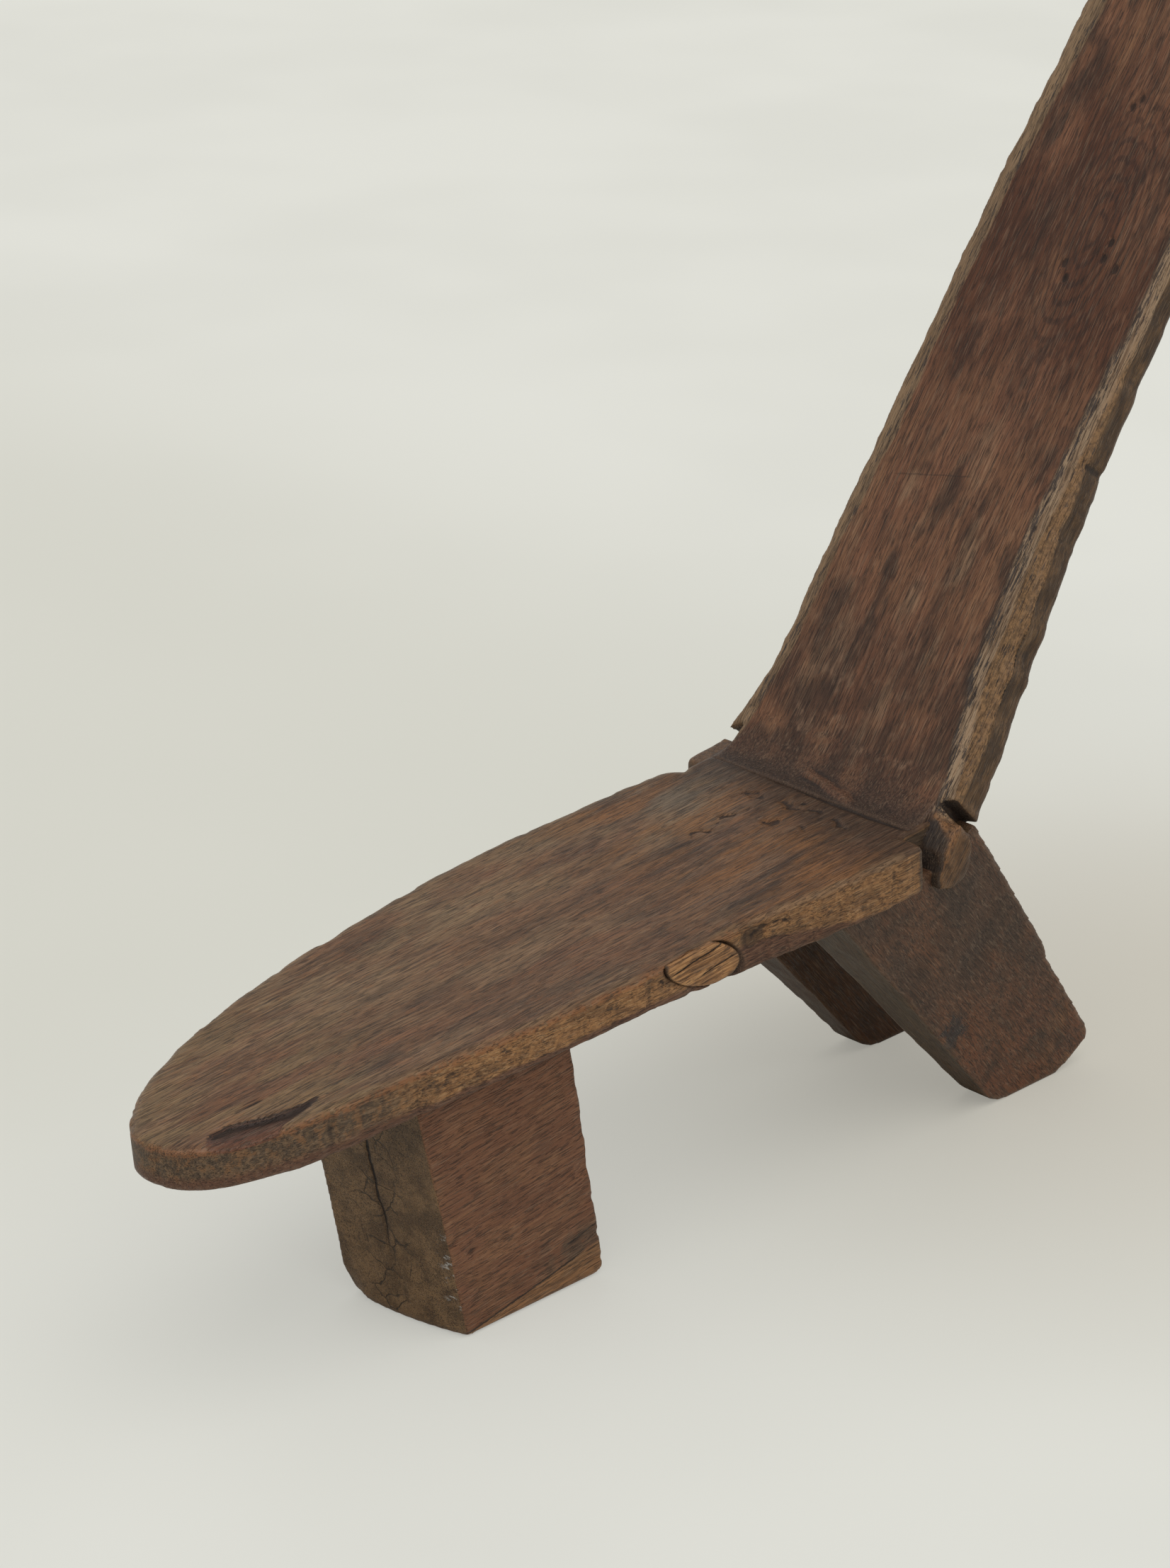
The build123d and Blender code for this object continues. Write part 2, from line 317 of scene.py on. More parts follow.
def block(profile, x_from, x_to):
    """A bmesh of a side view, (y from the tip, z) in millimetres, pulled out along X."""
    blank = bmesh.new()
    blank.faces.new([blank.verts.new((x_from * MM, TIP_Y + y * MM, z * MM)) for y, z in profile])
    pull(blank, ((x_to - x_from) * MM, 0, 0))
    bmesh.ops.recalc_face_normals(blank, faces=blank.faces)
    return blank


def hew(blank, point, outward):
    """Cut a blank along a plane and throw away what lies outside it."""
    cut = bmesh.ops.bisect_plane(blank, geom=blank.verts[:] + blank.edges[:] + blank.faces[:],
                                 plane_co=point, plane_no=outward, clear_outer=True)
    rim = [item for item in cut["geom_cut"] if isinstance(item, bmesh.types.BMEdge)]
    bmesh.ops.edgenet_fill(blank, edges=rim)
    bmesh.ops.recalc_face_normals(blank, faces=blank.faces)


def ease(blank, width, edges=None):
    """Take the sharpness off a blank's edges."""
    bmesh.ops.bevel(blank, geom=edges or blank.edges[:], offset=width, segments=3, profile=0.5,
                    affect="EDGES", material=-1)


# %% [markdown]
# A blank becomes carvable when its surface is evenly divided. The Remesh modifier does that,
# and it also melts overlapping blanks into one skin, as if they had been one log. After it the
# points can be moved like clay, each by its own small amount.

# %% From blank to carvable skin
def skin(name, blanks, voxel):
    """One closed, evenly divided mesh object around all the blanks."""
    whole = bpy.data.meshes.new(name)
    together = bmesh.new()
    for blank in blanks:
        part = bpy.data.meshes.new("blank")
        blank.to_mesh(part)
        blank.free()
        together.from_mesh(part)
    bmesh.ops.triangulate(together, faces=together.faces)
    together.to_mesh(whole)
    together.free()
    rough = put(name + "_rough", whole)
    remesh = rough.modifiers.new("even", "REMESH")
    remesh.mode, remesh.voxel_size = "VOXEL", voxel
    piece = put(name, shown(rough))
    piece.data.name = name
    return piece


def soften(mesh, times, factor=0.5):
    """Rub the skin smooth."""
    clay = bmesh.new()
    clay.from_mesh(mesh)
    for _ in range(times):
        bmesh.ops.smooth_vert(clay, verts=clay.verts, factor=factor, use_axis_x=True,
                              use_axis_y=True, use_axis_z=True)
    clay.to_mesh(mesh)
    clay.free()


def outward(mesh):
    """The way out of the wood at each point, read before anything moves."""
    return [item.vector.copy() for item in mesh.vertex_normals]


def keep_mark(mesh, name, numbers):
    """Store one number per point, for the finish to read."""
    mark = mesh.attributes.get(name) or mesh.attributes.new(name, "FLOAT", "POINT")
    mark.data.foreach_set("value", numbers)


def carve(piece, move, names=(), rubs=1, factor=0.5):
    """Move each point, and keep by name the numbers that the move returns after the new place."""
    mesh, kept = piece.data, []
    for v, normal in zip(mesh.vertices, outward(mesh)):
        v.co, *numbers = move(v.co.copy(), normal)
        kept.append(numbers)
    soften(mesh, rubs, factor)
    for name, numbers in zip(names, zip(*kept)):
        keep_mark(mesh, name, numbers)
    print(piece.name, "carved:", len(kept), "points")


# %% [markdown]
# A carved surface can be told in a few words: a ramp, a ridge, a round mound, a line between
# stations, fine grit, and the shallow dishes of an adze. Each is a small function of a place,
# so that the moves below only add them up.

# %% Words for a carved surface
def ramp(value, low, high):
    """0 at low, 1 at high, soft at both ends."""
    share = min(max((value - low) / (high - low), 0.0), 1.0)
    return share * share * (3 - 2 * share)


def between(value, low, high, soft):
    """1 between low and high, fading to 0 over a soft width on each side."""
    return ramp(value, low - soft, low + soft) * (1 - ramp(value, high - soft, high + soft))


def ridge(value, width):
    """1 where the value is 0, falling straight to 0 at this width on each side."""
    return max(0.0, 1 - abs(value) / width)


def mound(*shares):
    """A round hump: 1 where every share is 0, and 0 from where they add up to a circle."""
    return max(0.0, 1 - sum(share ** 2 for share in shares))


def at(stations, value):
    """Straight lines between named stations: [(station, height), ...]."""
    for (a, low), (b, high) in zip(stations, stations[1:]):
        if value <= b:
            return low + (high - low) * min(max((value - a) / (b - a), 0.0), 1.0)
    return stations[-1][1]


def grit(point, size, seed=0.0):
    """Soft noise from -1 to 1 whose lumps have this size."""
    shifts = (seed, -seed, 3 * seed)
    return noise.noise(Vector([part / long + shift for part, long, shift in zip(point, three(size), shifts)]))


def scallop(point, size, seed=0.0):
    """The shallow dishes that an adze leaves: 0 at a dish's middle, 1 on the ridges."""
    near = noise.voronoi(Vector((point[0] / size[0] + seed, point[1] / size[1], point[2] / size[2])))[0]
    return min(near[0], 1.0) ** 2


# %% [markdown]
# The seat is a long pointed plank. Its rim is one smooth line through a few stations, blunt
# and a little uneven at the tip, and square-cut at the rear, where two slots leave a
# neck that runs on into the fork.

# %% The seat's rim and thickness
ear_left, neck, slot_front, past = 122.0, 100.5, 618.0, 660.0
left_rim = [(6, 0), (36, 13), (62, 65), (78, 157), (95, 274), (104, 359), (105, 457), (119, 549)]
right_rim = [(-109, 591), (-113.5, 575), (-118, 496), (-122, 392), (-113, 287), (-97, 176), (-64, 72), (-29, 20)]
square_rear = [(ear_left, slot_front), (neck, slot_front), (neck, past), (-neck, past), (-neck, 599)]


def stations(soft_left, square, soft_right):
    """An outline from stations in millimetres: two soft sides and sharp corners between them."""
    return [(x * MM, along * MM, points is square)
            for points in (soft_left, square, soft_right) for x, along in points]


def contour(outline):
    """A search tree of close points on a board's outline, which gives distances to its rim."""
    line = board(outline, 2 * MM, 0.1 * MM, 60)
    tree = KDTree(len(line.verts))
    for number, v in enumerate(line.verts):
        tree.insert((v.co.x, v.co.y, 0), number)
    tree.balance()
    line.free()
    return tree


seat_outline = stations(left_rim, square_rear, right_rim)
seat_thickness = [(0, 31), (75, 35), (366, 29), (440, 38), (653, 38)]
print("rim stations:", len(seat_outline))

# %% [markdown]
# The blank is divided, and then carved while it still lies flat: x across, y from the tip,
# z below the top face. That keeps every station readable. The moves are the ones that show on
# the real plank: a scooped gouge beside the tip, a slit, a soft old rim with small bites out of
# it, tear-outs near the fork, a groove along the crease, and a hollow either side of the knot.

# %% The seat's blank and the lines on it
KNOT_T, KNOT_DEEP, KNOT_LONG, KNOT_WIDE, KNOT_TILT = 411.5, 14.0, 37.5, 15.8, math.radians(20)
seat_blank_thickness = 36 * MM
seat = skin("seat", [board(seat_outline, seat_blank_thickness, 2.5 * MM)], 1.85 * MM)
seat_contour = contour(seat_outline)
gouge_top = [(10, 44), (26, 38), (36, 33), (47, 33), (57, 36), (70, 42), (84, 47), (99, 49.5), (111, 51.5),
             (120, 52)]
gouge_low = [(20, 90), (42, 80), (58, 69), (74, 61), (93, 57), (108, 53), (120, 50)]
crease_line = [(-107, 628), (-91, 633), (-58, 632), (-34, 630.5), (0, 628), (35, 627), (63, 627), (86, 628),
               (106, 633)]
tears = [(-31, 603, 16, 5), (9, 577, 10, 4.5), (4, 606, 13, 5), (24, 609, 12, 4), (-19, 562, 2.6, 20),
         (-17, 531, 2.4, 12), (50, 604, 12, 4), (34, 586, 8, 3)]
print("seat blank:", len(seat.data.vertices), "points")

# %% [markdown]
# Wood grows round a dead branch without joining it, so a shake opens round the knot as the
# plank dries. The rim is hewn in there and the fibres beside it are torn out. All of that lies
# in the side face, and is placed by its share of the tilted knot's two half widths.

# %% The rim round the knot
def in_knot(along, up):
    """A place measured from the knot's middle, as shares of its half length and half width."""
    level, slant = math.cos(KNOT_TILT), math.sin(KNOT_TILT)
    return (along * level - up * slant) * (1 / KNOT_LONG), (up * level + along * slant) * (1 / KNOT_WIDE)


def knot_side(point, x, t, depth, rim):
    """The rim round the knot: how deep it is hewn in, how dark its shakes are, and the painted shade in its
    hollows.
    """
    beside = (1 - ramp(rim, 2.5, 5.0)) * ramp(depth, 0.5, 2.5)
    reach, girth = in_knot(t - KNOT_T, KNOT_DEEP - 0.94 * depth)
    away = math.hypot(reach, girth) + 0.03 * grit(point, 0.012, 24.0)
    ring = (1 - ramp(away, 1.06, 1.20)) * (1 - 0.7 * ramp(-girth, 0.3, 0.8) * ramp(reach, -0.2, 0.4))
    lee = mound((t - 459) / 15, (depth - 12) / 11)
    foot = mound((t - 378) / 14, (depth - 18 - 0.6 * (t - 378)) / 5)
    shake = ridge(depth - 5.0 + 0.16 * (t - 440), 2.0) * between(t, 442, 474, 5)
    lens = ridge(math.hypot((t - 476) / 17, (depth - 15) / 7) - 1, 0.16) * (1 - ramp(depth, 12, 16))
    hewn = beside * (5.0 * (1 - ramp(away, 0.98, 1.08)) + 2.5 * lee + 2.0 * foot + 1.5 * max(shake, lens))
    # the darkness: dark shakes and lens crack, and painted shade in the hollows beside and below the knot
    return hewn, beside * max(ring, shake, 0.8 * lens, 0.9 * ramp(lee, 0.1, 0.8), 0.7 * foot)


# %% [markdown]
# The carving itself is one move per point. Top, rim, side and underside each have their own
# share in it, and the last lines thin the plank to its real thickness and set it on its slope.

# %% Carving the seat
def carve_seat(point, normal):
    """Move one point of the flat seat and set it on the slope. Its marks are distances and masks."""
    x, t, depth = point.x / MM, point.y / MM, -point.z / MM
    flat = (point.x, point.y, 0.0)
    rim = seat_contour.find(flat)[2] / MM
    top = 1 - ramp(depth, 2.0, 8.0)
    under = ramp(depth, 28.0, 34.0)
    edge = 1 - ramp(rim, 1.0, 9.0)
    drop = 0.7 * grit(point, (0.05, 0.12), 2.0) + 0.35 * grit(point, (0.012, 0.05, 0.02), 5.0)
    drop += 1.6 * (1 - ramp(rim, 0.0, 8.0)) * (0.6 + 0.5 * grit(point, 0.03, 7.0))
    past_edge = x - at(gouge_top, t) - 1.2 * grit(point, 0.012, 17.0)
    share = past_edge / max(at(gouge_low, t) - at(gouge_top, t) + 2.0 * grit(point, 0.02, 18.0), 1.0)
    scoop = ramp(past_edge, -0.6, 1.0) * between(t, 26, 114, 6) * (1 - ramp(share, 0.75, 1.05))
    share = min(max(share, 0.0), 1.0)
    drop += scoop * (4.2 - 2.2 * share) * between(t, 30, 100, 18)
    slit = between(t, 61, 84, 4) * ridge(x - 24.5 - 1.5 * grit(point, 0.01), 2.0)
    warp_x, warp_t = x + 9.0 * grit(point, 0.013, 19.0), t + 9.0 * grit(point, 0.010, 20.0)
    tear = max(1 - ((warp_x - tear_x) / wide) ** 2 - ((warp_t - tear_t) / long) ** 2
               for tear_x, tear_t, wide, long in tears)
    tear = ramp(tear + 0.8 * grit(point, (0.005, 0.012, 0.01), 22.0), 0.0, 1.0) * top
    line = at(crease_line, x) + 1.5 * grit((point.x, 0, 0), 0.02, 4.0)
    drop += 1.6 * slit + 1.6 * tear + 1.8 * ridge(t - line, 3.5) * between(x, -100, 98, 6)
    bites = max(0.0, grit(flat, 0.011, 11.0) - 0.12) * 3.6 + 2.6 * grit(flat, 0.035, 3.0)
    bites += 3.4 * max(0.0, grit(flat, (0.05, 0.022, 1.0), 27.0)) * ramp(t, 120, 300) * (x < 0)
    new = Vector((x, t, -depth))
    new.x -= math.copysign(edge * bites, x) if 25 < t < 615 else 0.0
    new.y += edge * bites if t <= 25 else 0.0
    new.z += under * (0.9 * scallop(point, (0.03, 0.045, 1.0), 3.0) - 0.3) - top * drop
    hollow = 0.0
    if x > 60:
        hewn, hollow = knot_side(point, x, t, depth, rim)
        new.x -= hewn + edge * scallop(point, (0.03, 0.03, 0.012), 6.0)
    elif x < -60:
        new.x += edge * 1.2 * scallop(point, (0.03, 0.035, 0.014), 8.0)
    new *= MM
    deep = -new.z / seat_blank_thickness * at(seat_thickness, new.y / MM) * MM
    sloped = (new.x, TIP_Y + new.y + deep * math.sin(SEAT_RISE),
              TIP_TOP + math.tan(SEAT_RISE) * new.y - deep * math.cos(SEAT_RISE))
    return sloped, rim, depth, max(slit, hollow, 0.30 * tear), scoop * top * (1 - 0.5 * share)


carve(seat, carve_seat, ("rim", "deep", "hollow", "scoop"))

# %% [markdown]
# The backrest is a plank of nearly even width with hooked lower corners. It stands on the
# heel of the fork, and two ears of the fork stick out behind the seat's slots. Plank, heel
# and ears are separate blanks that overlap, and the skin makes them one.

# %% The backrest's outline and blanks
back_left = [(111, 60), (105, 130), (98, 200), (92.5, 290), (91.5, 430), (88, 570)]
back_top = [(82, 654), (73, 675), (52, 685), (0, 700), (-52, 685), (-73, 675), (-82, 654)]
back_right = [(-89, 570), (-95, 480), (-97, 330), (-99.5, 190), (-100.5, 85), (-104.5, 45)]
hooked_foot = [(-115, 12), (-97, 20), (-100.5, 0), (100.5, 0), (114.5, 5)]
back_outline = stations([], hooked_foot, back_left + back_top + back_right)
LEAN = Matrix((Vector((1, 0, 0)), BACK_UP, -BACK_IN)).transposed().to_4x4()
TO_BACK = Matrix.Translation(CREASE) @ LEAN
back_board = board(back_outline, 35 * MM, 2.5 * MM)
bmesh.ops.transform(back_board, matrix=TO_BACK, verts=back_board.verts)
hook = back_board.copy()
HOOK_CUT = Vector((0.31, -0.70, -0.65)).normalized()
CHEEK = 98.5
hew(back_board, (CHEEK * MM, 0, 0), (1, 0, 0))
hew(hook, (94 * MM, 0, 0), (-1, 0, 0))
hew(hook, TO_BACK @ Vector((99.6 * MM, 15.4 * MM, 0)), HOOK_CUT)
heel = block([(653.5, 276.6), (625.5, 237), (702.2, 243.4), (686.1, 263.4), (680, 280)], -101, 101)
near_ear = block([(641, 231), (638, 246), (639, 260), (647, 270), (657, 277), (663, 275), (669, 266), (674.5, 254),
                  (674.5, 241), (668, 231), (655, 227)], 97, 120.5)
far_ear = block([(620, 240), (619.5, 270.5), (626, 272.5), (640, 274), (655, 276), (663, 275), (670, 264),
                 (675, 250), (670, 238)], -119, -97)
for ear in near_ear, far_ear:
    ease(ear, 2.0 * MM)
shoulder = block([(640, 258), (652, 276.3), (659, 286), (664, 281), (672, 264), (675, 252), (655, 240)], 90, 121)
hew(shoulder, (99.5 * MM, 0, 283 * MM), Vector((0.62, 0.0, 0.78)).normalized())
cove = block([(628, 270), (629, 275.1), (640, 277.4), (650, 282.6), (660, 291), (669.5, 302), (676, 300),
              (655, 262)], -CHEEK, CHEEK)
print("backrest blanks: board, hook, heel, cove, two ears and a shoulder")

# %% Carving the backrest
backrest = skin("backrest", [back_board, heel, cove, near_ear, far_ear, shoulder, hook], 2.2 * MM)
back_contour = contour(back_outline)
near_strip = [(0, 100), (16, 98.5), (110, 78), (214, 72), (309, 76), (431, 83), (570, 80), (700, 74)]
far_strip = [(0, 99), (31, 98), (81, 89), (184, 88), (266, 82), (372, 83), (474, 80), (565, 72), (700, 60)]
pits = ((34.5, 448), (34, 435), (48, 429), (2, 425), (8, 414), (1, 554), (6, 561))
FROM_BACK = TO_BACK.inverted()


def carve_back(point, normal):
    """Move one point in the backrest's own plane: x across, y up the face, z out of it."""
    point = FROM_BACK @ point
    x, s, depth = point.x / MM, point.y / MM, -point.z / MM
    flat = (point.x, point.y, 0.0)
    rim = back_contour.find(flat)[2] / MM
    front = 1 - ramp(depth, 3.0, 10.0)
    rear = ramp(depth, 26.0, 33.0) * ramp(s, 60, 100)
    edge = (1 - ramp(rim, 1.0, 8.0)) * ramp(s, 8, 20)
    near, far = x - at(near_strip, s), -x - at(far_strip, s)
    drop = 0.8 * grit(point, (0.05, 0.14), 12.0) + 0.35 * grit(point, (0.014, 0.06, 0.02), 15.0)
    drop += ramp(near, -2.0, 3.0) * max(0.0, near) * 0.24 + max(0.0, far) * 0.22
    drop += sum(1.8 * mound((x - pit_x) / 3.5, (s - pit_s) / 6.0) for pit_x, pit_s in pits)
    drop += 0.8 * scallop(point, (0.04, 0.05, 1.0), 5.0) * between(s, -10, 110, 40)
    ledge = ridge(s + 5.5 + 0.17 * (x - 8) + 2.0 * grit(point, 0.012, 26.0), 5.0) * between(x, -20, 36, 6)
    bites = max(0.0, grit(flat, 0.012, 21.0) - 0.15) * 3.0 + 4.0 * grit(flat, 0.040, 23.0)
    bites += 1.2 * grit(flat, 0.016, 25.0)
    new = Vector((x, s, -depth))
    new.x -= math.copysign(edge * bites, x) if s < 650 else 0.0
    new.y -= edge * bites if s >= 650 else 0.0
    taper = 4.0 * max(s, 0.0) / 700
    new.z += rear * (taper + scallop(point, (0.035, 0.05, 1.0), 7.0)) - front * (drop - 3.2 * ledge)
    new.x -= math.copysign(edge * scallop(point, (0.03, 0.04, 0.013), 9.0), x) if 20 < s < 650 else 0.0
    return TO_BACK @ (new * MM), depth, max(near, far)


carve(backrest, carve_back, ("deep", "strip"))

# %% [markdown]
# The front leg is a stout block. Its foot stands further back than its top, its front face is
# turned a little, and the worn sole has round edges. Two quadrilaterals, the sole and the
# crown, give all of that.

# %% The front leg
def lean(degrees, height):
    """How far a leaning line moves over a height."""
    return math.tan(math.radians(degrees)) * height


foot_half, foot_front, foot_depth, leg_offset, crown_z = 54.5, 227.0, 138.0, 1.5, 204.0
crown_half = foot_half - lean(0.9, crown_z)


def corners(half, front, rear):
    """A level quadrilateral: its front is turned by eight degrees, its rear is square."""
    skew = lean(8, half)
    return [(-half, front - skew), (half, front + skew), (half, rear), (-half, rear)]


sole = corners(foot_half, foot_front, foot_front + foot_depth)
crown = corners(crown_half, foot_front - lean(12.6, crown_z), foot_front + foot_depth - lean(8.9, crown_z))


def quad_block(low, high, height):
    """A block between two quadrilaterals, given as (x, y) corners in the same order."""
    low, high = ([Vector(((x + leg_offset) * MM, TIP_Y + y * MM)) for x, y in quad] for quad in (low, high))
    blank = bmesh.new()
    blank.faces.new([blank.verts.new((*corner, 0.0)) for corner in low])
    for v in pull(blank, (0, 0, 0)):
        nearest = min(range(4), key=lambda i: (low[i] - v.co.xy).length)
        v.co = (*high[nearest], height * MM)
    bmesh.ops.recalc_face_normals(blank, faces=blank.faces)
    return blank


leg_blank = quad_block(sole, crown, crown_z)
ease(leg_blank, 1.4 * MM, [e for e in leg_blank.edges if abs(e.verts[0].co.z - e.verts[1].co.z) > 0.05])
ease(leg_blank, 6.0 * MM, [e for e in leg_blank.edges if max(v.co.z for v in e.verts) < 1e-4])
hew(leg_blank, (0, TIP_Y + 364 * MM, 9 * MM), Vector((0.0, 0.8, -0.6)))
hew(leg_blank, (0, TIP_Y, TIP_TOP - 24 * MM), SEAT_UP)
front_leg = skin("front_leg", [leg_blank], 1.5 * MM)
front_crack = [(34, -1.0), (48, -2.5), (63, -3.4), (82, -2.2), (99, -4.2), (115, -3.2), (129, -4.0), (144, -3.0),
               (200, -6)]


def carve_front_leg(point, normal):
    """Move one point of the front leg along its normal. Its mark is how far off the check it is."""
    x, t, z = point.x / MM - leg_offset, (point.y - TIP_Y) / MM, point.z / MM
    low = ramp(z, 2, 12)
    push = 0.6 * grit(point, 0.04, 31.0) + 0.25 * grit(point, 0.012, 33.0)
    push -= 0.7 * scallop(point, (0.05, 0.05, 0.06), 35.0)
    crack = x - at(front_crack, z) - grit(point, 0.007)
    if normal.y < -0.7:
        push -= 1.6 * ridge(crack, 2.0) * between(z, 55, 230, 20)
    corner = between(x, 44, 70, 6) * (1 - ramp(t, 236, 262)) * between(z, 10, 90, 20)
    push -= 3.0 * corner * max(0.0, grit(point, (0.02, 0.02, 0.012), 37.0))
    rear_edge = between(x, 46, 70, 5) * ramp(t, 330, 350)
    push -= 2.6 * rear_edge * max(0.0, grit(point, (0.03, 0.03, 0.010), 39.0))
    bulge = 7.0 * (1 - (x / 58) ** 2) * (1 - ramp(z, 0, 70)) if normal.y < -0.3 else 0.0
    blunt = 5.0 * ramp(-x, 30, 52) * (1 - ramp(z, 0, 26)) * (1 - ramp(t, 235, 275))
    return point + (normal * push * low + Vector((blunt, blunt * 0.6 - bulge, 0))) * MM, crack


carve(front_leg, carve_front_leg, ("crack",), 1, 0.4)

# %% [markdown]
# Each rear leg is a slab that rakes back from the fork and splays outward. Its side view has
# the small step that the carver left in the rear face and a heel worn round by the floor. Two
# planes then hew the slab's outer and inner faces.

# %% The rear legs
def rear_leg(name, hand, outer_foot):
    """A raking slab; hand is 1 for the sitter's left and -1 for the right."""
    heel_t = 837
    slab = block([(761, 0), (heel_t, 0), (875, 22), (798, 119), (793, 131), (696.5, 251), (521, 255)],
                 hand * 30, hand * 140)
    worn = [e for e in slab.edges if abs(e.verts[0].co.x - e.verts[1].co.x) > 0.05
            and e.verts[0].co.z < 23 * MM and abs(e.verts[0].co.y - TIP_Y - heel_t * MM) > 0.005]
    ease(slab, 14 * MM, worn)
    cap = block([(655, 236), (664, 258), (682, 269), (696.5, 251), (704, 236)], hand * 92, hand * 130)
    splay, tuck = math.radians(7.6), math.radians(1.5)
    for blank in slab, cap:
        hew(blank, (hand * outer_foot * MM, 0, 0), Vector((hand * math.cos(splay), 0, -math.sin(splay))))
    hew(slab, (hand * 50 * MM, 0, 0), Vector((-hand * math.cos(tuck), 0, -math.sin(tuck))))
    hew(slab, (0, TIP_Y + 560 * MM, 238 * MM), SEAT_UP)
    leg = skin(name, [slab, cap], 1.9 * MM)

    def hack(point, normal):
        """Move one point of the leg along its normal."""
        push = 0.8 * grit(point, 0.05, 41.0 + hand) + 0.3 * grit(point, 0.015, 43.0)
        push -= 0.9 * scallop(point, (0.05, 0.045, 0.045), 45.0 + hand)
        push -= 1.5 * max(0.0, grit(point, 0.02, 47.0) - 0.2) * (1 if abs(normal.x) < 0.8 else 0.3)
        return (point + normal * push * ramp(point.z, 0.001, 0.012) * MM,)

    carve(leg, hack, rubs=2)
    return leg


rear_leg_left = rear_leg("rear_leg_near", 1, 81)
rear_leg_right = rear_leg("rear_leg_far", -1, 77)

# %% [markdown]
# A dead branch knot still sits in the left edge, ringed by a shake. It is an oval plug that
# lies slantwise across the edge. The adze skimmed its face with the edge's own, and the top
# face cuts it off above.

# %% The knot
knot_blank = bmesh.new()
bmesh.ops.create_circle(knot_blank, cap_ends=True, cap_tris=False, segments=48, radius=1.0)
pull(knot_blank, (0, 0, 1))
knot_middle = Vector((85 * MM, TIP_Y + KNOT_T * MM, TIP_TOP + (math.tan(SEAT_RISE) * KNOT_T - KNOT_DEEP) * MM))
oval = Matrix(((0, 0, 19.8 * MM, 0), (KNOT_LONG * MM, 0, 0, 0), (0, KNOT_WIDE * MM, 0, 0), (0, 0, 0, 1)))
turn = Matrix.Rotation(SEAT_RISE - KNOT_TILT, 4, "X")
bmesh.ops.transform(knot_blank, matrix=Matrix.Translation(knot_middle) @ turn @ oval, verts=knot_blank.verts)
hew(knot_blank, (0, TIP_Y, TIP_TOP - 1.2 * MM), SEAT_UP)
ease(knot_blank, 1.5 * MM, [e for e in knot_blank.edges if min(v.co.x for v in e.verts) > 104 * MM])
knot = skin("knot", [knot_blank], 1.0 * MM)


def carve_knot(point, normal):
    """Roughen the knot's face; its two splits are marked by how far off them a point is."""
    t, z = (point.y - knot_middle.y) / MM, (point.z - knot_middle.z) / MM
    face = ramp(point.x, 99 * MM, 103 * MM)
    split, split_reach = z - 6.8 - 0.19 * t - grit(point, 0.012), between(t, -30, 20, 4)
    lower, lower_reach = z + 7.0 - 0.17 * t - grit(point, 0.012, 2.0), between(t, -2, 31, 4)
    push = 0.6 * grit(point, 0.012, 51.0) - 0.015 * abs(t) + 0.6
    push -= 1.6 * ridge(split, 1.2) * split_reach + 1.2 * ridge(lower, 1.0) * lower_reach
    point.x += face * push * MM
    return point, split / max(split_reach, 0.05), lower / max(lower_reach, 0.05)


carve(knot, carve_knot, ("split", "lower_split"), 1, 0.3)

# %% [markdown]
# All the members share one wood: a dense red-brown hardwood, darkened by smoke and hands. Its
# fibres run along the log, so each noise is stretched a lot one way and hardly at all
# across. Fine fibres, broader streaks, soft stains and tiny dark pores are laid over each other,
# and the same layers drive the relief, so that colour and bump agree.

